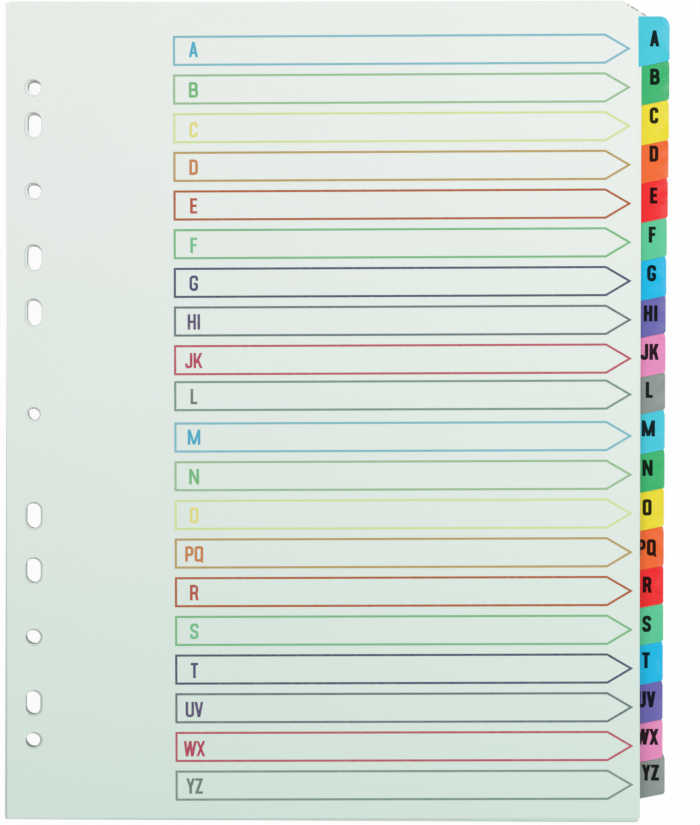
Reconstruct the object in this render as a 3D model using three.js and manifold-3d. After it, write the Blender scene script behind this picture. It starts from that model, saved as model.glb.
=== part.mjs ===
// An A to Z index divider set for a ring binder: one index sheet on twenty tabbed divider sheets.
// Millimetres, +Z up. The sheets lie flat, +Y runs up the page and +X points to the tabs.
import * as THREE from "three";
import { mergeVertices } from "three/addons/utils/BufferGeometryUtils.js";
import Module from "manifold-3d";

const wasm = await Module();
wasm.setup();

// Sheets: A4 height, extra wide so that the tabs clear punched pockets
const sheetWidth = 230;
const sheetHeight = 297;
const cardThickness = 0.2;
const cornerRadius = 0.6; // worn square corners
const cornerCutWidth = 5.8; // the sloping shoulder at the top right corner, along the top edge
const cornerCutDrop = 3.5; // and down the right edge

// Tabs: each stands out of the right edge, one step lower than the tab before
const tabReach = 10; // beyond the right edge
const tabHeight = 18.2; // along the root
const tabTopMargin = 5; // from the top of the sheet to the first tab
const tabBottomMargin = 6.8; // from the last tab to the bottom of the sheet
const tabTaper = 2.1; // rise of the lower side from root to tip
const tabCornerRadius = 3.8; // upper outer corner
const tabToeRadius = 0.9; // lower outer corner

// Coloured film, folded round the outer edge of each tab and stuck to both faces
const filmThickness = 0.05;
const filmInset = 2; // how far it runs in past the root of the tab

// Punching for several ring systems, in one column along the left edge
const punchFromEdge = 9.8; // left edge to the centre of the column
const punchDrop = 1.3; // the middle of the column sits this far below mid height
const punchWidth = 6; // diameter of the round holes and width of the slots
const centreHoleWidth = 5; // the small hole in the middle
const innerSlotFromMiddle = 37;
const innerSlotLength = 10;
const secondSlotFromMiddle = 57;
const secondSlotLength = 9.6;
const middleHoleFromMiddle = 81.2;
const outerSlotFromMiddle = 105.2;
const outerSlotLength = 9.4;
const outerHoleFromMiddle = 118.8;
const leastEdge = 4; // card kept between a hole and the top or bottom edge

// How the stack lies: the dividers as one pile have turned a little under the index sheet
const sheetPitch = cardThickness + 2 * filmThickness; // the films of neighbouring tabs touch
const pileTurn = THREE.MathUtils.degToRad(-0.3);
const pileShift = -0.35; // towards the punched edge
const pileDrop = 0.65; // towards the foot of the page

// Round stretches: angle of one facet
const fineStep = Math.PI / 8;
const plainStep = Math.PI / 5;
const tabStep = Math.PI / 7;
const samePlace = 1e-6; // coordinates closer than this are one

// One entry for each divider, front to back: its mark, the film colour and how far it slipped in the pile
const dividers = [
  { mark: "a", film: 0x4ac7dd, slip: [0.8, 0.5] },
  { mark: "b", film: 0x43b970, slip: [0.75, 0.4] },
  { mark: "c", film: 0xe6d732, slip: [0.7, -0.1] },
  { mark: "d", film: 0xf0732d, slip: [0.6, 0.1] },
  { mark: "e", film: 0xf53034, slip: [0.45, -0.15] },
  { mark: "f", film: 0x5cc49b, slip: [0.15, -0.1] },
  { mark: "g", film: 0x0ab9e6, slip: [0.05, -0.45] },
  { mark: "hi", film: 0x625eaa, slip: [-0.1, 0.1] },
  { mark: "jk", film: 0xeb8cc3, slip: [-0.1, -0.25] },
  { mark: "l", film: 0x939a99, slip: [-0.15, 0.35] },
  { mark: "m", film: 0x32c8e6, slip: [-0.2, -0.2] },
  { mark: "n", film: 0x3cb667, slip: [-0.2, -0.15] },
  { mark: "o", film: 0xdccb2d, slip: [-0.35, 0] },
  { mark: "pq", film: 0xeb5f32, slip: [-0.35, -0.35] },
  { mark: "r", film: 0xd72d32, slip: [-0.4, -0.1] },
  { mark: "s", film: 0x50c687, slip: [-0.4, 0.15] },
  { mark: "t", film: 0x0aa5d7, slip: [-0.45, -0.2] },
  { mark: "uv", film: 0x5f579b, slip: [-0.45, -0.35] },
  { mark: "wx", film: 0xc8709b, slip: [-0.4, -0.3] },
  { mark: "yz", film: 0x71897c, slip: [0.45, 0.55] },
];

const tabStepDown =
  (sheetHeight - tabTopMargin - tabBottomMargin - tabHeight) / (dividers.length - 1);
const tabTip = sheetWidth + tabReach;
const punches = [
  { fromMiddle: 0, width: centreHoleWidth, length: centreHoleWidth },
  { fromMiddle: innerSlotFromMiddle, width: punchWidth, length: innerSlotLength },
  { fromMiddle: secondSlotFromMiddle, width: punchWidth, length: secondSlotLength },
  { fromMiddle: middleHoleFromMiddle, width: punchWidth, length: punchWidth },
  { fromMiddle: outerSlotFromMiddle, width: punchWidth, length: outerSlotLength },
  { fromMiddle: outerHoleFromMiddle, width: punchWidth, length: punchWidth },
];

const cardMaterial = new THREE.MeshStandardMaterial({
  color: 0xe3e9e6,
  roughness: 0.75,
  metalness: 0,
});

// Adds the points of an arc to an outline, both ends included
function addArc(points, x, y, radius, from, to, step) {
  const facets = Math.max(1, Math.round(Math.abs(to - from) / step));
  for (let i = 0; i <= facets; i++) {
    const angle = from + ((to - from) * i) / facets;
    points.push(new THREE.Vector2(x + radius * Math.cos(angle), y + radius * Math.sin(angle)));
  }
}

// A round hole or an upright slot with round ends
function punchPath(x, y, width, length, step) {
  const radius = width / 2;
  const straight = (length - width) / 2;
  const points = [];
  if (straight > 0) {
    addArc(points, x, y + straight, radius, 0, Math.PI, step);
    addArc(points, x, y - straight, radius, Math.PI, 2 * Math.PI, step);
  } else {
    addArc(points, x, y, radius, 0, 2 * Math.PI, step);
    points.pop(); // the last point is the first again
  }
  return new THREE.Path(points);
}

// The column of holes, mirrored about its middle, where the sheet is tall enough for them
function punchPaths(step) {
  const middle = sheetHeight / 2 - punchDrop;
  const paths = [];
  for (const { fromMiddle, width, length } of punches) {
    if (fromMiddle + length / 2 + leastEdge > middle) continue;
    for (const side of fromMiddle > 0 ? [1, -1] : [1])
      paths.push(punchPath(punchFromEdge, middle + side * fromMiddle, width, length, step));
  }
  return paths;
}

// Where the sloping shoulder crosses the height y, also beyond the right edge
function shoulderAt(y) {
  const belowTop = sheetHeight - y;
  return sheetWidth - cornerCutWidth + (belowTop * cornerCutWidth) / cornerCutDrop;
}

// The three sides of a tab from its lower root to its upper one, along x = root
function tabSides(top, root) {
  const bottom = top - tabHeight;
  const slope = Math.atan2(tabTaper, tabReach);
  const tipBottom = bottom + tabTaper;
  const points = [];
  points.push(new THREE.Vector2(root, bottom + (root - sheetWidth) * Math.tan(slope)));
  const toeX = tabTip - tabToeRadius;
  const toeY = tipBottom + tabToeRadius * (1 / Math.cos(slope) - Math.tan(slope));
  addArc(points, toeX, toeY, tabToeRadius, slope - Math.PI / 2, 0, tabStep);
  const cornerX = tabTip - tabCornerRadius;
  addArc(points, cornerX, top - tabCornerRadius, tabCornerRadius, 0, Math.PI / 2, tabStep);
  points.push(new THREE.Vector2(root, top));
  return points;
}

// The outline of a sheet, with the tab whose top is given, or without one
function sheetShape(tabTop, step) {
  const points = [];
  const r = cornerRadius;
  const quarter = Math.PI / 2;
  addArc(points, r, r, r, 2 * quarter, 3 * quarter, quarter);
  addArc(points, sheetWidth - r, r, r, 3 * quarter, 4 * quarter, quarter);
  const sides = tabTop === null ? [] : tabSides(tabTop, sheetWidth);
  if (tabTop !== null && shoulderAt(tabTop) < tabTip - tabCornerRadius) {
    // the shoulder runs on past the right edge until it meets the top of the first tab
    sides[sides.length - 1].x = shoulderAt(tabTop);
  } else {
    sides.push(new THREE.Vector2(sheetWidth, sheetHeight - cornerCutDrop));
  }
  points.push(...sides);
  points.push(new THREE.Vector2(sheetWidth - cornerCutWidth, sheetHeight));
  addArc(points, r, sheetHeight - r, r, quarter, 2 * quarter, quarter);
  const shape = new THREE.Shape(points);
  shape.holes = punchPaths(step);
  return shape;
}

// A flat piece of the given outline, about the middle of the sheet
function slab(shape, bottom, thickness) {
  const geometry = new THREE.ExtrudeGeometry(shape, { depth: thickness, bevelEnabled: false });
  return geometry.translate(-sheetWidth / 2, -sheetHeight / 2, bottom);
}

function solidOf(geometry) {
  const bare = geometry.clone();
  bare.deleteAttribute("normal");
  bare.deleteAttribute("uv");
  const merged = mergeVertices(bare);
  return new wasm.Manifold(
    new wasm.Mesh({
      numProp: 3,
      vertProperties: merged.attributes.position.array,
      triVerts: new Uint32Array(merged.index.array),
    }),
  );
}

function geometryOf(solid) {
  const mesh = solid.getMesh();
  const geometry = new THREE.BufferGeometry();
  geometry.setAttribute("position", new THREE.BufferAttribute(mesh.vertProperties, 3));
  geometry.setIndex(new THREE.BufferAttribute(mesh.triVerts, 1));
  geometry.computeVertexNormals();
  return geometry;
}

// Film over both faces of a tab, joined by the fold along its outer edge
function filmGeometry(tabTop) {
  const sides = tabSides(tabTop, sheetWidth - filmInset);
  const foldEnds = sides.filter((point) => tabTip - point.x < samePlace);
  const fold = foldEnds.map((point) => new THREE.Vector2(tabTip + filmThickness, point.y));
  const after = sides.indexOf(foldEnds[0]) + 1;
  const outline = [...sides.slice(0, after), ...fold, ...sides.slice(after)];
  const wrapped = slab(new THREE.Shape(outline), -filmThickness, cardThickness + 2 * filmThickness);
  const card = new THREE.BoxGeometry(tabTip, 2 * sheetHeight, cardThickness);
  card.translate((tabTip - sheetWidth) / 2, 0, cardThickness / 2);
  return geometryOf(solidOf(wrapped).subtract(solidOf(card)));
}

function namedMesh(name, geometry, material) {
  const mesh = new THREE.Mesh(geometry, material);
  mesh.name = name;
  return mesh;
}

// A divider with its film, where it lies in the pile; the last one shows its back, so its holes are finer
function dividerGroup({ mark, film, slip }, index) {
  const tabTop = sheetHeight - tabTopMargin - index * tabStepDown;
  const below = dividers.length - 1 - index;
  const card = slab(sheetShape(tabTop, below > 0 ? plainStep : fineStep), 0, cardThickness);
  const filmMaterial = new THREE.MeshStandardMaterial({
    color: film,
    roughness: 0.25,
    metalness: 0,
  });
  const group = new THREE.Group();
  group.add(namedMesh("divider_" + mark, card, cardMaterial));
  group.add(namedMesh("tab_film_" + mark, filmGeometry(tabTop), filmMaterial));
  group.position.set(slip[0], slip[1], below * sheetPitch);
  return group;
}

const pile = new THREE.Group();
dividers.forEach((divider, index) => pile.add(dividerGroup(divider, index)));
pile.rotation.z = pileTurn;
pile.position.set(pileShift, -pileDrop, 0);

const indexCard = slab(sheetShape(null, fineStep), 0, cardThickness);
const indexSheet = namedMesh("index_sheet", indexCard, cardMaterial);
indexSheet.position.z = dividers.length * sheetPitch;

const set = new THREE.Group();
set.add(indexSheet, pile);

// The origin is the middle of the underside of the whole stack
const box = new THREE.Box3().setFromObject(set, true);
const middle = box.getCenter(new THREE.Vector3());
set.position.set(-middle.x, -middle.y, -box.min.z);

export default set;
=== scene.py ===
# Lettered index dividers, lying flat and seen from straight above
import math

import bpy
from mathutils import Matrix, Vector
from mathutils.geometry import delaunay_2d_cdt


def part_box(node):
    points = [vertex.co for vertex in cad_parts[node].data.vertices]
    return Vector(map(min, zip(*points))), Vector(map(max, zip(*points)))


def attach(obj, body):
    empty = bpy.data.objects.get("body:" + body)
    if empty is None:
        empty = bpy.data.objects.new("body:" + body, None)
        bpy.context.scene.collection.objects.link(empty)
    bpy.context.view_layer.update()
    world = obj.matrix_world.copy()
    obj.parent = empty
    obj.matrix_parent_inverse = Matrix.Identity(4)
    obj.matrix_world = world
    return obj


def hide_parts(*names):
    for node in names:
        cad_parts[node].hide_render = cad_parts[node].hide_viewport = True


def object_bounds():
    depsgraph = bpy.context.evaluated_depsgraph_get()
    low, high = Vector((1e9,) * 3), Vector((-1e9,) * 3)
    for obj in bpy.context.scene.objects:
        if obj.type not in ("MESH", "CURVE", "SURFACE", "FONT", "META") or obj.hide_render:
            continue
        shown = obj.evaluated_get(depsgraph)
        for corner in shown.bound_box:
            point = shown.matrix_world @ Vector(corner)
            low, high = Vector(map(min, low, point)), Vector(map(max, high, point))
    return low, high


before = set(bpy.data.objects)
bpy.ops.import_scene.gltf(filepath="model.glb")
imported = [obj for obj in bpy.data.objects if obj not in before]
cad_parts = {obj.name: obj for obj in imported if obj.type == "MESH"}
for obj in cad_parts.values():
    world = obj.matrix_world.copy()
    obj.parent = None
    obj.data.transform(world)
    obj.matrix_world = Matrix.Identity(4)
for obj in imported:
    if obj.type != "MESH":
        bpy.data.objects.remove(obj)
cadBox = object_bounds()
mm = 0.001
quarter = math.pi / 2
sharpAngle = math.radians(35)  # steeper edges are shaded sharp

# The ten colours of the set, as 0 to 255: the film of a tab, and the lines and letters of its field
palette = {
    "cyan": {"film": (70, 200, 220), "line": (125, 185, 200), "letters": (70, 170, 200)},
    "green": {"film": (55, 180, 110), "line": (150, 190, 145), "letters": (110, 185, 120)},
    "yellow": {"film": (235, 220, 50), "line": (210, 225, 155), "letters": (225, 220, 125)},
    "orange": {"film": (240, 105, 45), "line": (185, 155, 95), "letters": (200, 125, 65)},
    "red": {"film": (240, 35, 40), "line": (175, 90, 40), "letters": (180, 75, 50)},
    "mint": {"film": (90, 200, 150), "line": (120, 185, 130), "letters": (110, 190, 135)},
    "blue": {"film": (5, 185, 230), "line": (70, 80, 105), "letters": (60, 70, 110)},
    "violet": {"film": (105, 100, 175), "line": (100, 120, 120), "letters": (85, 75, 110)},
    "pink": {"film": (230, 140, 190), "line": (185, 85, 100), "letters": (180, 65, 90)},
    "grey": {"film": (140, 150, 145), "line": (120, 150, 135), "letters": (105, 125, 115)},
}

# Front to back: each mark's colour, and how many millimetres the letters on its tab are printed to
# the right of their usual place and above it
marks = {
    "a": {"colour": "cyan", "nudge": (0.3, 0.4)},
    "b": {"colour": "green", "nudge": (0.55, 0.7)},
    "c": {"colour": "yellow", "nudge": (0.35, 1.2)},
    "d": {"colour": "orange", "nudge": (0.5, 1.2)},
    "e": {"colour": "red", "nudge": (0.65, 0.3)},
    "f": {"colour": "mint", "nudge": (0.5, 0.1)},
    "g": {"colour": "blue", "nudge": (0.45, 0.5)},
    "hi": {"colour": "violet", "nudge": (0.3, -0.6)},
    "jk": {"colour": "pink", "nudge": (0.1, -0.2)},
    "l": {"colour": "grey", "nudge": (0, -0.6)},
    "m": {"colour": "cyan", "nudge": (-0.2, 0)},
    "n": {"colour": "green", "nudge": (-0.4, -0.4)},
    "o": {"colour": "yellow", "nudge": (-0.35, -0.9)},
    "pq": {"colour": "orange", "nudge": (-0.5, -1.1)},
    "r": {"colour": "red", "nudge": (-0.1, -0.9)},
    "s": {"colour": "mint", "nudge": (-0.2, -1.4)},
    "t": {"colour": "blue", "nudge": (-0.35, -0.3)},
    "uv": {"colour": "violet", "nudge": (-0.15, -0.4)},
    "wx": {"colour": "pink", "nudge": (0.25, -0.1)},
    "yz": {"colour": "grey", "nudge": (0.55, 0)},
}
sheet = {
    "width": 230,
    "height": 297,
    "thickness": 0.2,
    "cornerRadius": 0.6,
    "cornerFacets": 4,
    "shoulderWidth": 5.8,  # the cut at the top right corner
    "shoulderDrop": 3.5,
    "meshSpacing": 9,
}
punching = {
    "fromEdge": 9.8,
    "drop": 1.3,  # the middle of the column sits this far below mid height
    # distance from mid height, width and length of each hole
    "holes": [(0, 5, 5), (37, 6, 10), (57, 6, 9.6), (81.2, 6, 6), (105.2, 6, 9.4), (118.8, 6, 6)],
    "facets": 20,  # in a half circle
}
tab = {
    "reach": 10,
    "height": 18.2,
    "topMargin": 5,
    "bottomMargin": 6.8,
    "taper": 2.1,
    "cornerRadius": 3.3,
    "cornerFacets": 16,
    "toeRadius": 0.7,
    "toeFacets": 8,
    "rise": 0.3,  # the tips bend up by this much
}
film = {"thickness": 0.05, "inset": 2, "meshSpacing": 1.6, "foldSteps": 6, "foldSpacing": 0.8}
pile = {
    "turn": -0.3,  # degrees, of the dividers under the index sheet
    "cornerLift": 0.4,  # the loose corners on the left stand up by this much
    "liftReach": 52,  # and start to rise this far from the left edge
}
tabStepDown = (sheet["height"] - tab["topMargin"] - tab["bottomMargin"] - tab["height"]) / (len(marks) - 1)
tabTip = sheet["width"] + tab["reach"]


# Where the sloping shoulder crosses the height y, also beyond the right edge
def shoulderAt(y):
    start = sheet["width"] - sheet["shoulderWidth"]
    return start + (sheet["height"] - y) * sheet["shoulderWidth"] / sheet["shoulderDrop"]


def coloursOf(mark):
    return palette[marks[mark]["colour"]]


def tabTopOf(index):
    return sheet["height"] - tab["topMargin"] - index * tabStepDown


def arcPoints(x, y, radius, start, end, count):
    turns = [start + (end - start) * i / count for i in range(count + 1)]
    return [(x + radius * math.cos(t), y + radius * math.sin(t)) for t in turns]


def tabSides(top, root):
    bottom = top - tab["height"]
    slope = math.atan2(tab["taper"], tab["reach"])
    toe, corner = tab["toeRadius"], tab["cornerRadius"]
    toeY = bottom + tab["taper"] + toe * (1 / math.cos(slope) - math.tan(slope))
    points = [(root, bottom + (root - sheet["width"]) * math.tan(slope))]
    points += arcPoints(tabTip - toe, toeY, toe, slope - quarter, 0, tab["toeFacets"])
    points += arcPoints(tabTip - corner, top - corner, corner, 0, quarter, tab["cornerFacets"])
    return points + [(root, top)]


def sheetOutline(tabTop):
    width, height, r, facets = (sheet[k] for k in ("width", "height", "cornerRadius", "cornerFacets"))
    points = arcPoints(r, r, r, 2 * quarter, 3 * quarter, facets)
    points += arcPoints(width - r, r, r, 3 * quarter, 4 * quarter, facets)
    sides = [] if tabTop is None else tabSides(tabTop, width)
    if sides and shoulderAt(tabTop) < tabTip - tab["cornerRadius"]:
        # the shoulder runs on past the right edge to the top of the first tab
        sides[-1] = (shoulderAt(tabTop), tabTop)
    else:
        sides.append((width, height - sheet["shoulderDrop"]))
    points += sides + [(width - sheet["shoulderWidth"], height)]
    return points + arcPoints(r, height - r, r, quarter, 2 * quarter, facets)


def punchOutlines():
    loops = []
    x, middle, facets = punching["fromEdge"], sheet["height"] / 2 - punching["drop"], punching["facets"]
    for fromMiddle, width, length in punching["holes"]:
        for side in (1, -1) if fromMiddle else (1,):
            y, straight = middle + side * fromMiddle, (length - width) / 2
            loop = arcPoints(x, y + straight, width / 2, 0, math.pi, facets)
            loop += arcPoints(x, y - straight, width / 2, math.pi, 2 * math.pi, facets)
            loops.append(loop if straight else loop[:facets] + loop[facets + 1:-1])
    return loops


# Splits the long sides of an outline, and turns it so that it runs anticlockwise
def evenOutline(loop, spacing):
    points, area = [], 0
    for (ax, ay), (bx, by) in zip(loop, loop[1:] + loop[:1]):
        pieces = max(1, math.ceil(math.hypot(bx - ax, by - ay) / spacing)) if spacing else 1
        points += [(ax + (bx - ax) * i / pieces, ay + (by - ay) * i / pieces) for i in range(pieces)]
        area += ax * by - bx * ay
    return points if area > 0 else points[::-1]


def gridPoints(lowX, lowY, highX, highY, spacing):
    columns = max(2, round((highX - lowX) / spacing))
    rows = max(2, round((highY - lowY) / spacing))
    stepX, stepY = (highX - lowX) / columns, (highY - lowY) / rows
    return [(lowX + stepX * i, lowY + stepY * j) for i in range(1, columns) for j in range(1, rows)]


# Fills an outline, or the union of several, with triangles and leaves out its holes
def flatTriangles(outlines, holes=(), spacing=None, finer=()):
    points, loops = [], []
    for loop in list(outlines) + list(holes):
        loop = evenOutline(loop, spacing)
        loops.append(list(range(len(points), len(points) + len(loop))))
        points += loop
    if spacing:
        xs, ys = [p[0] for p in points], [p[1] for p in points]
        points += gridPoints(min(xs), min(ys), max(xs), max(ys), spacing)
    points += finer
    filled = delaunay_2d_cdt([Vector(p) for p in points], [], loops, 1, 1e-5)
    flat, triangles = [tuple(v) for v in filled[0]], []
    firstHole = len(list(outlines))
    for corners, cameFrom in zip(filled[2], filled[5]):
        if not cameFrom or max(cameFrom) >= firstHole:
            continue
        (ax, ay), (bx, by), (cx, cy) = (flat[i] for i in corners)
        turn = (bx - ax) * (cy - ay) - (by - ay) * (cx - ax)
        triangles.append(tuple(corners) if turn > 0 else tuple(reversed(corners)))
    used = sorted({i for corners in triangles for i in corners})
    places = {old: new for new, old in enumerate(used)}
    return [flat[i] for i in used], [tuple(places[i] for i in corners) for corners in triangles]


# Gives flat triangles a thickness, and puts every point where place says
def thickPiece(name, flat, low, high, place, materials):
    points, triangles = flat
    count = len(points)
    vertices = [place(x, y, low) for x, y in points] + [place(x, y, high) for x, y in points]
    faces = [tuple(reversed(corners)) for corners in triangles]
    faces += [tuple(i + count for i in corners) for corners in triangles]
    sides = {(c[i], c[(i + 1) % 3]) for c in triangles for i in range(3)}
    rims = [(a, b) for a, b in sides if (b, a) not in sides]
    faces += [(a, b, b + count, a + count) for a, b in sorted(rims)]
    mesh = bpy.data.meshes.new(name)
    mesh.from_pydata(vertices, [], faces)
    for material in materials:
        mesh.materials.append(material)
    wall = len(materials) - 1
    for polygon in mesh.polygons:
        polygon.use_smooth = True
        polygon.material_index = wall if polygon.index >= 2 * len(triangles) else 0
    mesh.set_sharp_from_angle(angle=sharpAngle)
    piece = bpy.data.objects.new(name, mesh)
    bpy.context.scene.collection.objects.link(piece)
    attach(piece, "root")
    return piece


# How far a point stands up from where a flat sheet would lie; depth is 0 at the front, 1 at the back
def liftOf(x, y, depth):
    toLeft = max(0, 1 - x / pile["liftReach"])
    toEnds = abs(2 * y / sheet["height"] - 1)
    toTip = max(0, (x - sheet["width"]) / tab["reach"])
    return pile["cornerLift"] * toLeft**2 * toEnds**2 * (1 - depth)**2 + tab["rise"] * toTip**2


# Finds where a sheet lies from the box of its node, and returns the function that puts points there
def sheetPlace(node, outline, degrees, depth):
    cos, sin = math.cos(math.radians(degrees)), math.sin(math.radians(degrees))
    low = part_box(node)[0] / mm
    lowX = min(x * cos - y * sin for x, y in outline)
    lowY = min(x * sin + y * cos for x, y in outline)

    def place(x, y, z):
        return (
            (x * cos - y * sin - lowX + low.x) * mm,
            (x * sin + y * cos - lowY + low.y) * mm,
            (z + liftOf(x, y, depth) + low.z) * mm,
        )

    return place


# Wraps the film's flat strip over the tab's outer edge: h is the distance from the card's face
def foldedPlace(place):
    thickness, fold = sheet["thickness"], foldLength()

    def wrapped(u, y, h):
        if u <= tabTip:
            return place(u, y, thickness + h)
        if u >= tabTip + fold:
            return place(2 * tabTip + fold - u, y, -h)
        angle, radius = math.pi * (u - tabTip) / fold, thickness / 2 + h
        return place(tabTip + radius * math.sin(angle), y, thickness / 2 + radius * math.cos(angle))

    return wrapped


def foldLength():
    return math.pi * (sheet["thickness"] + film["thickness"]) / 2


# Points from the front of the fold to its back, at one height
def acrossFold(y):
    steps = film["foldSteps"]
    return [(tabTip + foldLength() * i / steps, y) for i in range(steps + 1)]


# The film before it is folded: the tab's outline, the fold and the outline mirrored
def filmOutline(front, half):
    back = [(2 * tabTip + foldLength() - x, y) for x, y in front]
    lowFold, highFold = acrossFold(front[half - 1][1])[1:-1], acrossFold(front[half][1])[1:-1]
    lower = front[:half] + lowFold + back[:half][::-1]
    return lower + back[half:][::-1] + highFold[::-1] + front[half:]


def filmTriangles(tabTop):
    front = tabSides(tabTop, sheet["width"] - film["inset"])
    half = next(i for i, p in enumerate(front) if abs(p[0] - tabTip) < 1e-6) + 1
    lowY, highY = front[half - 1][1], front[half][1]
    rows = math.ceil((highY - lowY) / film["foldSpacing"])
    fold = [p for i in range(1, rows) for p in acrossFold(lowY + (highY - lowY) * i / rows)]
    return flatTriangles([filmOutline(front, half)], (), film["meshSpacing"], fold)


bendSteps = 6  # straight pieces in a rounded corner of a letter
leastMitre = 0.4  # keeps a sharp corner of a stroke from running out to a spike


# One pen stroke of a letter: a centre line with rounded corners, made as wide as the stroke
def strokeOutline(points, width, bend):
    line = [Vector(points[0])]
    for before, corner, after in zip(points, points[1:], points[2:]):
        before, corner, after = Vector(before), Vector(corner), Vector(after)
        cut = min(bend, (before - corner).length / 2, (after - corner).length / 2)
        start = corner + (before - corner).normalized() * cut
        end = corner + (after - corner).normalized() * cut
        for i in range(bendSteps + 1):
            t = i / bendSteps
            line.append(start * (1 - t)**2 + corner * 2 * t * (1 - t) + end * t**2)
    line.append(Vector(points[-1]))
    line = [p for i, p in enumerate(line) if i == 0 or (p - line[i - 1]).length > 1e-4]
    left, right = [], []
    for i, point in enumerate(line):
        ahead = (line[min(i + 1, len(line) - 1)] - point).normalized() if i < len(line) - 1 else None
        behind = (point - line[i - 1]).normalized() if i else None
        way = ((ahead or behind) + (behind or ahead)).normalized()
        across = Vector((-way.y, way.x)) * width / 2 / max(leastMitre, way.dot(ahead or behind))
        left.append(tuple(point + across))
        right.append(tuple(point - across))
    return left + list(reversed(right))


# Condensed bold capitals, one unit high; the letter I is as wide as its stroke
letterWidth = {
    "A": 0.6, "B": 0.6, "C": 0.54, "D": 0.55, "E": 0.46, "F": 0.44, "G": 0.56, "H": 0.54, "J": 0.48,
    "K": 0.6, "L": 0.44, "M": 0.82, "N": 0.64, "O": 0.56, "P": 0.54, "Q": 0.56, "R": 0.56, "S": 0.55,
    "T": 0.48, "U": 0.55, "V": 0.57, "W": 0.84, "X": 0.58, "Y": 0.56, "Z": 0.5,
}


# The outlines that make up one letter
def letterOutlines(letter, stroke):
    w = letterWidth.get(letter, stroke)
    s, a, b = stroke, stroke / 2, stroke * 0.46
    top, middle, centre = 1 - b, 0.51, w / 2

    def bar(x0, x1, y):
        return [(x0, y - b), (x1, y - b), (x1, y + b), (x0, y + b)]

    def stem(x, low=0, high=1):
        return [(x, low), (x + s, low), (x + s, high), (x, high)]

    def lean(x0, y0, x1, y1, across=s):
        return [(x0, y0), (x0 + across, y0), (x1 + across, y1), (x1, y1)]

    def bowl(right, low, high, bend=0.2):
        return strokeOutline([(a, high), (right - a, high), (right - a, low), (a, low)], s, bend)

    def hook(points, bend=0.22):
        return strokeOutline([(a if x == "l" else w - a if x == "r" else x, y) for x, y in points], s, bend)

    cLine = [("r", 0.66), ("r", top), ("l", top), ("l", b), ("r", b), ("r", 0.34)]
    gLine = cLine[:4] + [("r", b), ("r", 0.53 - b), (centre, 0.53 - b)]
    sLine = [("r", 0.7), ("r", top), ("l", top), ("l", 0.56), ("r", 0.44), ("r", b), ("l", b), ("l", 0.3)]
    ring = [hook([(centre, top), (side, top), (side, b), (centre, b)]) for side in ("l", "r")]
    valley = [lean(0, 1, w / 4 - a, 0), lean(centre - a, 1, w / 4 - a, 0)]
    return {
        "A": [lean(0, 0, centre - a, 1), lean(w - s, 0, centre - a, 1), bar(w / 5, w * 0.8, 0.29)],
        "B": [stem(0), bowl(w - 0.03, middle, top, 0.17), bowl(w, b, middle, 0.18)],
        "C": [hook(cLine)],
        "D": [stem(0), bowl(w, b, top)],
        "E": [stem(0), bar(0, w, top), bar(0, w - 0.04, middle), bar(0, w, b)],
        "F": [stem(0), bar(0, w, top), bar(0, w - 0.04, middle)],
        "G": [hook(gLine, 0.2)],
        "H": [stem(0), stem(w - s), bar(0, w, middle)],
        "I": [stem(0)],
        "J": [hook([("r", 1), ("r", b), ("l", b), ("l", 0.32)])],
        "K": [stem(0), lean(a, 0.34, w - s * 1.2, 1, s * 1.1), lean(w - s * 1.1, 0, s, 0.6)],
        "L": [stem(0), bar(0, w, b)],
        "M": [stem(0), stem(w - s), lean(0, 1, centre - a, 0.02), lean(w - s, 1, centre - a, 0.02)],
        "N": [stem(0), stem(w - s), lean(0, 1, w - s, 0)],
        "O": ring,
        "P": [stem(0), bowl(w, 0.44, top)],
        "Q": ring + [lean(centre + 0.05, 0.2, centre + 0.17, -0.07, s * 0.8)],
        "R": [stem(0), bowl(w - 0.02, 0.47, top, 0.18), lean(w - s, 0, w - s - 0.09, 0.5)],
        "S": [hook(sLine, 0.2)],
        "T": [stem(centre - a), bar(0, w, top)],
        "U": [hook([("l", 1), ("l", b), ("r", b), ("r", 1)], 0.24)],
        "V": [lean(0, 1, centre - a, 0), lean(w - s, 1, centre - a, 0)],
        "W": valley + [[(x + centre - a, y) for x, y in shape] for shape in valley],
        "X": [lean(0, 0, w - s, 1), lean(w - s, 0, 0, 1)],
        "Y": [stem(centre - a, 0, 0.46), lean(0, 1, centre - a, 0.42), lean(w - s, 1, centre - a, 0.42)],
        "Z": [bar(0, w, top), bar(0, w, b), lean(0, 0.08, w - s * 1.1, 0.92, s * 1.1)],
    }[letter]


# Space between the two letters of a mark, as a share of their height
pairGap = {"HI": 0.1, "JK": 0.07, "PQ": 0.07, "UV": 0.03, "WX": -0.03, "YZ": 0.02}


# Sets a mark of one or two letters about a point
def markOutlines(text, centreX, centreY, values):
    height, stroke, gap = values["height"], values["stroke"], pairGap.get(text, 0)
    widths = [letterWidth.get(letter, stroke) for letter in text]
    x, outlines = -(sum(widths) + gap * (len(text) - 1)) / 2, []
    for letter, width in zip(text, widths):
        for shape in letterOutlines(letter, stroke):
            outlines.append([
                (centreX + (x + px) * height, centreY + (py - 0.5) * height) for px, py in shape
            ])
        x += width + gap
    return outlines


def linear(colour):
    values = [c / 255 for c in colour]
    return tuple(c / 12.92 if c <= 0.04045 else ((c + 0.055) / 1.055)**2.4 for c in values) + (1,)


# Starts a node group with the given inputs and outputs
def newGroup(name, inputs, outputs):
    group = bpy.data.node_groups.new(name, "ShaderNodeTree")
    for title, kind, value in inputs:
        socket = group.interface.new_socket(title, in_out="INPUT", socket_type=kind)
        socket.default_value = value
    for title, kind in outputs:
        group.interface.new_socket(title, in_out="OUTPUT", socket_type=kind)
    nodes = group.nodes
    return group, nodes.new("NodeGroupInput"), nodes.new("NodeGroupOutput")


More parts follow.
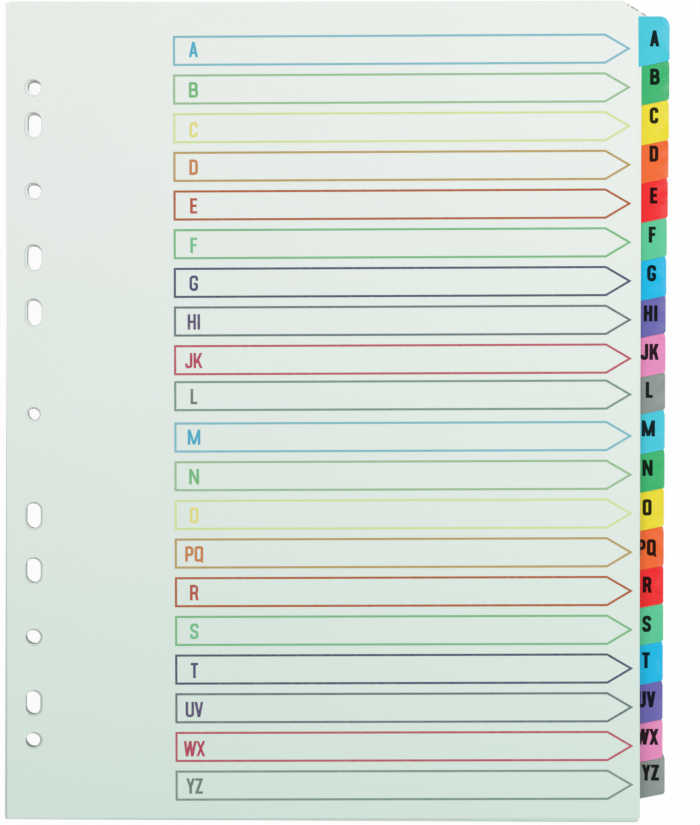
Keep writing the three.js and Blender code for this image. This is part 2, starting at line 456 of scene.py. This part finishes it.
def addNode(tree, kind, links=None, **settings):
    node = tree.nodes.new(kind)
    for key, value in settings.items():
        setattr(node, key, value)
    for socket, source in (links or {}).items():
        if isinstance(source, bpy.types.NodeSocket):
            tree.links.new(source, node.inputs[socket])
        else:
            node.inputs[socket].default_value = source
    return node


def calculate(tree, operation, first, second):
    return addNode(tree, "ShaderNodeMath", {0: first, 1: second}, operation=operation).outputs[0]


def noiseNode(tree, vector, scale, detail, roughness=0.5):
    links = {"Vector": vector, "Scale": scale, "Detail": detail, "Roughness": roughness}
    return addNode(tree, "ShaderNodeTexNoise", links)


# Slow clouds in a sheet's colour: Tone goes from 0 to 1 and stays near the middle
def mottleGroup():
    group, given, result = newGroup(
        "mottle",
        [("Cloud Size", "NodeSocketFloat", 60), ("Fleck Size", "NodeSocketFloat", 900)],
        [("Tone", "NodeSocketFloat")],
    )
    place = addNode(group, "ShaderNodeTexCoord").outputs["Object"]
    clouds = noiseNode(group, place, given.outputs["Cloud Size"], detail=2)
    flecks = noiseNode(group, place, given.outputs["Fleck Size"], detail=4, roughness=0.65)
    mixed = calculate(group, "ADD", clouds.outputs["Fac"], flecks.outputs["Fac"])
    group.links.new(calculate(group, "MULTIPLY", mixed, 0.5), result.inputs["Tone"])
    return group


# Fine fibres pressed into card: Height for a bump
def fibreGroup():
    group, given, result = newGroup(
        "fibres",
        [("Size", "NodeSocketFloat", 2400), ("Press", "NodeSocketFloat", 0.5)],
        [("Height", "NodeSocketFloat")],
    )
    place = addNode(group, "ShaderNodeTexCoord").outputs["Object"]
    stretched = addNode(group, "ShaderNodeMapping", {"Vector": place, "Scale": (1, 0.45, 1)})
    fine = noiseNode(group, stretched.outputs[0], given.outputs["Size"], detail=5, roughness=0.7)
    height = calculate(group, "MULTIPLY", fine.outputs["Fac"], given.outputs["Press"])
    group.links.new(height, result.inputs["Height"])
    return group


# Rubbed gloss: Mask is 1 where handling has dulled the film, and the film's material uses it also for a
# painted sheen near the outer edge
def handlingGroup():
    group, given, result = newGroup(
        "handling",
        [("Smear Size", "NodeSocketFloat", 220), ("Scratch Size", "NodeSocketFloat", 2600)],
        [("Mask", "NodeSocketFloat"), ("Height", "NodeSocketFloat")],
    )
    place = addNode(group, "ShaderNodeTexCoord").outputs["Object"]
    smears = noiseNode(group, place, given.outputs["Smear Size"], detail=3, roughness=0.6)
    drawn = addNode(group, "ShaderNodeMapping", {
        "Vector": place, "Rotation": (0, 0, 0.5), "Scale": (1, 0.06, 1),
    })
    scratches = noiseNode(group, drawn.outputs[0], given.outputs["Scratch Size"], detail=2)
    mask = addNode(group, "ShaderNodeMapRange", {
        "Value": smears.outputs["Fac"], "From Min": 0.4, "From Max": 0.72,
    })
    height = calculate(group, "ADD", smears.outputs["Fac"], scratches.outputs["Fac"])
    group.links.new(mask.outputs[0], result.inputs["Mask"])
    group.links.new(height, result.inputs["Height"])
    return group


def newMaterial(name):
    material = bpy.data.materials.new(name)
    material.use_nodes = True
    tree = material.node_tree
    return material, tree, tree.nodes["Principled BSDF"]


def addGroup(tree, group, values):
    node = tree.nodes.new("ShaderNodeGroup")
    node.node_tree = group
    for title, value in values.items():
        node.inputs[title].default_value = value
    return node


def addBump(tree, shader, height, values):
    bump = addNode(tree, "ShaderNodeBump", {"Height": height, **values})
    tree.links.new(bump.outputs["Normal"], shader.inputs["Normal"])


def mixColours(tree, factor, first, second):
    node = addNode(tree, "ShaderNodeMix", data_type="RGBA")
    for socket, source in ((node.inputs[0], factor), (node.inputs[6], first), (node.inputs[7], second)):
        if isinstance(source, bpy.types.NodeSocket):
            tree.links.new(source, socket)
        else:
            socket.default_value = source
    return node.outputs[2]


card = {
    "light": (235, 239, 235),
    "shaded": (228, 234, 229),
    "foot": (211, 230, 220),  # painted shade: the page is drawn darker and greener towards its bottom
    "footReach": 1.6,  # above 1 keeps that painted shade low on the page
    "roughness": 0.62,
    "specular": 0.35,
    "mottle": {"Cloud Size": 26, "Fleck Size": 700},
    "fibres": {"Size": 2200, "Press": 0.6},
    "bump": {"Strength": 0.35, "Distance": 0.00006},
}
cutEdge = {
    "light": (238, 240, 236),
    "shaded": (216, 220, 215),
    "roughness": 0.85,
    "mottle": {"Cloud Size": 300, "Fleck Size": 5200},
    "fibres": {"Size": 6000, "Press": 0.9},
    "bump": {"Strength": 0.5, "Distance": 0.00005},
}


def cardMaterial(groups):
    material, tree, shader = newMaterial("white card")
    tone = addGroup(tree, groups["mottle"], card["mottle"])
    face = mixColours(tree, tone.outputs["Tone"], linear(card["shaded"]), linear(card["light"]))
    # painted shade: lower down the page the card is drawn darker and greener
    place = addNode(tree, "ShaderNodeTexCoord").outputs["Object"]
    along = addNode(tree, "ShaderNodeSeparateXYZ", {0: place}).outputs["Y"]
    half = sheet["height"] * mm / 2
    down = addNode(tree, "ShaderNodeMapRange", {"Value": along, "From Min": half, "From Max": -half})
    low = calculate(tree, "POWER", down.outputs[0], card["footReach"])
    tree.links.new(mixColours(tree, low, face, linear(card["foot"])), shader.inputs["Base Color"])
    shader.inputs["Roughness"].default_value = card["roughness"]
    shader.inputs["Specular IOR Level"].default_value = card["specular"]
    fibres = addGroup(tree, groups["fibres"], card["fibres"])
    addBump(tree, shader, fibres.outputs["Height"], card["bump"])
    return material


def coreMaterial(groups):
    material, tree, shader = newMaterial("cut edge of card")
    tone = addGroup(tree, groups["mottle"], cutEdge["mottle"])
    cut = mixColours(tree, tone.outputs["Tone"], linear(cutEdge["shaded"]), linear(cutEdge["light"]))
    tree.links.new(cut, shader.inputs["Base Color"])
    shader.inputs["Roughness"].default_value = cutEdge["roughness"]
    fibres = addGroup(tree, groups["fibres"], cutEdge["fibres"])
    addBump(tree, shader, fibres.outputs["Height"], cutEdge["bump"])
    return material


gloss = {
    "roughness": 0.24,
    "dull": 0.38,  # roughness where handling has rubbed it
    "specular": 0.13,
    "shade": 0.8,  # painted shadow of the sheet above, at the root of the first tab
    "shadeFoot": 0.6,  # and at the root of the last, deeper in the pile
    "rootShare": 0.3,  # share of the full colour that the painted shadow leaves at the root, before the mottle adds to it
    "paintedSheen": 0.16,  # painted sheen: how much paler the outer edge is drawn in the rubbed spots
    "paintedSheenReach": 4,  # above 1 keeps the painted sheen near the outer edge
    "handling": {"Smear Size": 180, "Scratch Size": 3000},
    "mottle": {"Cloud Size": 120, "Fleck Size": 1500},
    "bump": {"Strength": 0.12, "Distance": 0.00004},
}


def filmMaterial(mark, depth, groups):
    material, tree, shader = newMaterial("film " + mark)
    wearAndSheen = addGroup(tree, groups["handling"], gloss["handling"])
    tone = addGroup(tree, groups["mottle"], gloss["mottle"])
    full = linear(coloursOf(mark)["film"])
    # painted shadow: each tab is drawn darker at its root, where the sheet above shades it, and darker
    # deeper in the pile
    shade = gloss["shade"] + (gloss["shadeFoot"] - gloss["shade"]) * depth
    paintedShadowColour = tuple(c * shade for c in full[:3]) + (1,)
    # painted sheen: a paler copy of the film's colour
    pale = tuple(c + (1 - c) * gloss["paintedSheen"] for c in full)
    place = addNode(tree, "ShaderNodeTexCoord").outputs["Object"]
    across = addNode(tree, "ShaderNodeSeparateXYZ", {0: place}).outputs["X"]
    tip = cadBox[1].x
    # the painted shadow fades from the root out to the tip
    outwards = addNode(tree, "ShaderNodeMapRange", {
        "Value": across, "From Min": tip - tab["reach"] * mm, "From Max": tip, "To Min": gloss["rootShare"],
    })
    lit = calculate(tree, "ADD", outwards.outputs[0], tone.outputs["Tone"])
    colour = mixColours(tree, lit, paintedShadowColour, full)
    # painted sheen: the rubbed spots are drawn paler, mostly near the outer edge
    outer = calculate(tree, "POWER", outwards.outputs[0], gloss["paintedSheenReach"])
    sheenOnRubbedSpots = calculate(tree, "MULTIPLY", outer, wearAndSheen.outputs["Mask"])
    tree.links.new(mixColours(tree, sheenOnRubbedSpots, colour, pale), shader.inputs["Base Color"])
    rough = addNode(tree, "ShaderNodeMapRange", {
        "Value": wearAndSheen.outputs["Mask"], "To Min": gloss["roughness"], "To Max": gloss["dull"],
    })
    tree.links.new(rough.outputs[0], shader.inputs["Roughness"])
    shader.inputs["Specular IOR Level"].default_value = gloss["specular"]
    addBump(tree, shader, wearAndSheen.outputs["Height"], gloss["bump"])
    return material


ink = {
    "roughness": 0.5,
    "specular": 0.1,
    "lift": 0.012,  # mm above the surface that it is printed on
    "sink": 0.01,
    "wornBelow": 0.35,  # tone of the mottle at which the ink is at its thinnest
    "fullAbove": 0.6,
    "mottle": {"Cloud Size": 500, "Fleck Size": 2600},
    "fibres": {"Size": 2200, "Press": 0.5},
    "bump": {"Strength": 0.3, "Distance": 0.00005},
}


# From where to where ink reaches that is printed on a surface: it starts a little below it
def inkLayer(surface, lift):
    return surface - ink["sink"], surface + lift


# Printing ink, worn thin in spots by the given share
def inkMaterial(name, colour, thin, groups, specular=ink["specular"]):
    material, tree, shader = newMaterial(name)
    tone = addGroup(tree, groups["mottle"], ink["mottle"])
    full = linear(colour)
    paper = linear(card["light"])
    worn = tuple(f + (p - f) * thin for f, p in zip(full, paper))
    cover = addNode(tree, "ShaderNodeMapRange", {
        "Value": tone.outputs["Tone"], "From Min": ink["wornBelow"], "From Max": ink["fullAbove"],
    })
    tree.links.new(mixColours(tree, cover.outputs[0], worn, full), shader.inputs["Base Color"])
    shader.inputs["Roughness"].default_value = ink["roughness"]
    shader.inputs["Specular IOR Level"].default_value = specular
    fibres = addGroup(tree, groups["fibres"], ink["fibres"])
    addBump(tree, shader, fibres.outputs["Height"], ink["bump"])
    return material


lettering = {
    "height": 5.85,
    "stroke": 0.215,
    "fromTip": 5.6,
    "aboveRoot": 9.8,
    "lift": 0.02,
    "specular": 0.04,
    "tint": 0.16,  # share of the film's colour that the black ink lets through
}


def buildDivider(mark, index, materials):
    node, top, depth = "divider_" + mark, tabTopOf(index), (index + 1) / len(marks)
    outline = sheetOutline(top)
    place = sheetPlace(node, outline, pile["turn"], depth)
    bottom, root = top - tab["height"], sheet["width"] - film["inset"]
    bend = gridPoints(root, bottom, tabTip, top, film["meshSpacing"] / 2)
    flat = flatTriangles([outline], punchOutlines(), sheet["meshSpacing"], bend)
    sides = [materials["card"], materials["core"]]
    piece = thickPiece("card_" + mark, flat, 0, sheet["thickness"], place, sides)
    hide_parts(node)
    # painted shadow along the shoulder of the first divider
    if mark in paintedShoulderShadow["stretches"]:
        buildPaintedShoulderShadow(mark, place, materials)
    node = "tab_film_" + mark
    wrap = foldedPlace(place)
    skin = thickPiece(
        "film_" + mark, filmTriangles(top), 0, film["thickness"], wrap, [materials["film_" + mark]],
    )
    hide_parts(node)
    right, up = marks[mark]["nudge"]
    letterX, letterY = tabTip - lettering["fromTip"] + right, bottom + lettering["aboveRoot"] + up
    drawn = markOutlines(mark.upper(), letterX, letterY, lettering)
    surface = sheet["thickness"] + film["thickness"]
    low, high = inkLayer(surface, lettering["lift"])
    letters = thickPiece(
        "tab_letters_" + mark, flatTriangles(drawn, (), 1), low, high, place, [materials["black_" + mark]],
    )


# Painted shadow: dark stretches along the shoulder's cut edge
paintedShoulderShadow = {
    "colour": (158, 156, 132),
    "width": 0.5,
    # from and to so many millimetres down the slope, on the index sheet and on the first divider
    "stretches": {"index": [(2.4, 3), (3.8, 5.4), (5.7, 6.7)], "a": [(6.9, 8.6)]},
}


def buildPaintedShoulderShadow(name, place, materials):
    drop, width, inner = sheet["shoulderDrop"], sheet["shoulderWidth"], paintedShoulderShadow["width"]
    slope = math.hypot(drop, width)
    downX, downY = width / slope, -drop / slope
    startX, startY = sheet["width"] - width, sheet["height"]
    strips = []
    for start, end in paintedShoulderShadow["stretches"][name]:
        strips.append([
            (startX + downX * d + downY * inset, startY + downY * d - downX * inset)
            for d, inset in ((start, 0), (end, 0), (end, inner), (start, inner))
        ])
    low, high = inkLayer(sheet["thickness"], ink["lift"])
    # painted shadow, printed as a thin layer on the sheet
    worn = thickPiece("painted_shoulder_shadow_" + name, flatTriangles(strips), low, high, place, [materials["soil"]])


# Painted shade: a grey ring round each hole of the index sheet
paintedHoleShade = {"width": 0.22, "colour": (208, 212, 208)}


def buildPaintedHoleShade(place, materials):
    rims = []
    for loop in punchOutlines():
        outer = []
        for i, (x, y) in enumerate(loop):
            (ax, ay), (bx, by) = loop[i - 1], loop[(i + 1) % len(loop)]
            scale = paintedHoleShade["width"] / math.hypot(bx - ax, by - ay)
            outer.append((x + (by - ay) * scale, y - (bx - ax) * scale))
        rims.append(outer)
    flat = flatTriangles(rims, punchOutlines())
    low, high = inkLayer(sheet["thickness"], ink["lift"])
    # painted shade round the holes, printed as a thin layer on the sheet
    holeShadeRing = thickPiece("painted_hole_shade", flat, low, high, place, [materials["burr"]])


field = {
    "left": 61.03,
    "straightEnd": 218.2,
    "tip": 227.5,
    "height": 10.99,
    "line": 0.8,
    "firstCentre": 279.37,
    "lastCentre": 12.04,
    "raised": {"l": 1},  # one field is printed a little high
    "askew": 0.1,  # degrees by which the print is turned on the sheet
    "thin": 0.1,  # share of the paper that shows through in worn spots
    "letterX": 68.5,
    "letterLean": -0.55,  # how far the column of letters drifts from the first field to the last
    "letterDrop": 0.15,
    "lettersRaised": {"a": 0.6, "c": -0.5, "f": -0.25, "m": 0.3, "t": -0.2, "uv": -0.3, "wx": -0.5},
    "letters": {"height": 5.6, "stroke": 0.17},
}


def fieldOutline(centreY, inset):
    half = field["height"] / 2 - inset
    slope = (field["tip"] - field["straightEnd"]) / (field["height"] / 2)
    tipIn = inset * math.hypot(1, slope)
    left, tip = field["left"] + inset, field["tip"] - tipIn
    end, low, high = tip - half * slope, centreY - half, centreY + half
    return [(left, low), (end, low), (tip, centreY), (end, high), (left, high)]


def buildIndexSheet(materials):
    outline = sheetOutline(None)
    place = sheetPlace("index_sheet", outline, 0, 0)
    cos, sin = math.cos(math.radians(field["askew"])), math.sin(math.radians(field["askew"]))
    middleX, middleY = sheet["width"] / 2, sheet["height"] / 2

    def printPlace(x, y, z):
        fromX, fromY = x - middleX, y - middleY
        return place(middleX + fromX * cos - fromY * sin, middleY + fromX * sin + fromY * cos, z)

    flat = flatTriangles([outline], punchOutlines(), sheet["meshSpacing"])
    sides = [materials["card"], materials["core"]]
    front = thickPiece("index_card", flat, 0, sheet["thickness"], place, sides)
    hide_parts("index_sheet")
    buildPaintedShoulderShadow("index", place, materials)
    buildPaintedHoleShade(place, materials)
    low, high = inkLayer(sheet["thickness"], ink["lift"])
    pitch = (field["firstCentre"] - field["lastCentre"]) / (len(marks) - 1)
    for index, mark in enumerate(marks):
        centreY = field["firstCentre"] - index * pitch + field["raised"].get(mark, 0)
        line = flatTriangles([fieldOutline(centreY, 0)], [fieldOutline(centreY, field["line"])])
        letterX = field["letterX"] + field["letterLean"] * index / (len(marks) - 1)
        letterY = centreY - field["letterDrop"] + field["lettersRaised"].get(mark, 0)
        drawn = markOutlines(mark.upper(), letterX, letterY, field["letters"])
        for name, shape in (("line_", line), ("letters_", flatTriangles(drawn))):
            inked = [materials[name + mark]]
            printed = thickPiece("field_" + name + mark, shape, low, high, printPlace, inked)


def buildMaterials():
    groups = {"mottle": mottleGroup(), "fibres": fibreGroup(), "handling": handlingGroup()}
    materials = {"card": cardMaterial(groups), "core": coreMaterial(groups)}
    thin = field["thin"]
    materials["soil"] = inkMaterial("soiled edge", paintedShoulderShadow["colour"], thin, groups)
    materials["burr"] = inkMaterial("painted shade round a hole", paintedHoleShade["colour"], thin, groups)
    for index, mark in enumerate(marks):
        materials["film_" + mark] = filmMaterial(mark, index / (len(marks) - 1), groups)
        colours = coloursOf(mark)
        black = tuple(c * lettering["tint"] for c in colours["film"])
        materials["black_" + mark] = inkMaterial("black on " + mark, black, 0, groups, lettering["specular"])
        for kind in ("line", "letters"):
            materials[kind + "_" + mark] = inkMaterial(kind + " " + mark, colours[kind], thin, groups)
    return materials


room = {
    "floorSize": 4,
    "floorColour": (0.95, 0.95, 0.95),
    "floorShadow": 0.06,  # share of the floor that takes light and shadow
    "world": 0.44,
    "key": {"power": 12.2, "size": 2, "place": (0.1, 0.3, 1.1)},
    "side": {"power": 1.2, "size": 0.5, "place": (0.75, 0.1, 0.6)},
}


# 1 for what the camera sees, also in a reflection or through glass, and 0 for light on other things
def seenDirectly(tree):
    path = addNode(tree, "ShaderNodeLightPath")
    glossy = calculate(tree, "MAXIMUM", path.outputs["Is Camera Ray"], path.outputs["Is Glossy Ray"])
    return calculate(tree, "MAXIMUM", glossy, path.outputs["Is Transmission Ray"])


def buildFloor():
    half = room["floorSize"] / 2
    corners = [(-half, -half, 0), (half, -half, 0), (half, half, 0), (-half, half, 0)]
    mesh = bpy.data.meshes.new("floor")
    mesh.from_pydata(corners, [], [(0, 1, 2, 3)])
    floor = bpy.data.objects.new("floor", mesh)
    bpy.context.scene.collection.objects.link(floor)
    material, tree, shader = newMaterial("pale floor")
    shader.inputs["Base Color"].default_value = room["floorColour"] + (1,)
    shader.inputs["Roughness"].default_value = 1
    shader.inputs["Specular IOR Level"].default_value = 0
    white = addNode(tree, "ShaderNodeEmission")
    share = calculate(tree, "MULTIPLY", seenDirectly(tree), 1 - room["floorShadow"])
    mixed = addNode(tree, "ShaderNodeMixShader", {0: share, 1: shader.outputs[0], 2: white.outputs[0]})
    tree.links.new(mixed.outputs[0], tree.nodes["Material Output"].inputs["Surface"])
    mesh.materials.append(material)


def buildRoom():
    buildFloor()
    world = bpy.data.worlds.new("studio")
    bpy.context.scene.world = world
    world.use_nodes = True
    tree = world.node_tree
    strength = addNode(tree, "ShaderNodeMapRange", {
        "Value": seenDirectly(tree), "To Min": room["world"], "To Max": 1,
    })
    tree.links.new(strength.outputs[0], tree.nodes["Background"].inputs["Strength"])
    tree.nodes["Background"].inputs["Color"].default_value = (1, 1, 1, 1)
    for name in ("key", "side"):
        values = room[name]
        lamp = bpy.data.lights.new(name, "AREA")
        lamp.energy, lamp.size = values["power"], values["size"]
        lampObject = bpy.data.objects.new(name, lamp)
        lampObject.location = values["place"]
        lampObject.rotation_euler = (-Vector(values["place"])).to_track_quat("-Z", "Y").to_euler()
        bpy.context.scene.collection.objects.link(lampObject)


camera = {
    "distance": 1.0,
    "sensorHeight": 36,
    "viewHeight": 0.29997,  # metres of the index sheet's plane that the frame shows
    "lookX": 9.99,  # mm right of the sheet's middle
    "lookY": -0.915,
    "tilt": 0.69,  # degrees by which it stands to the right of straight above
    "roll": -0.11,
}


def buildCamera():
    low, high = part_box("index_sheet")
    target = (low + high) / 2 + Vector((camera["lookX"], camera["lookY"], 0)) * mm
    data = bpy.data.cameras.new("camera")
    data.sensor_fit = "VERTICAL"
    data.sensor_height = camera["sensorHeight"]
    data.lens = data.sensor_height * camera["distance"] / camera["viewHeight"]
    viewer = bpy.data.objects.new("camera", data)
    viewer.rotation_euler = (0, math.radians(camera["tilt"]), math.radians(camera["roll"]))
    upwards = viewer.rotation_euler.to_matrix() @ Vector((0, 0, 1))
    viewer.location = target + upwards * camera["distance"]
    bpy.context.scene.collection.objects.link(viewer)
    bpy.context.scene.camera = viewer


buildCamera()
print("camera placed")
buildRoom()
print("room lit")
materials = buildMaterials()
print("materials made")
buildIndexSheet(materials)
print("index sheet printed")
for index, mark in enumerate(marks):
    buildDivider(mark, index, materials)
print("dividers stacked")

bpy.context.scene.view_settings.view_transform = "Standard"
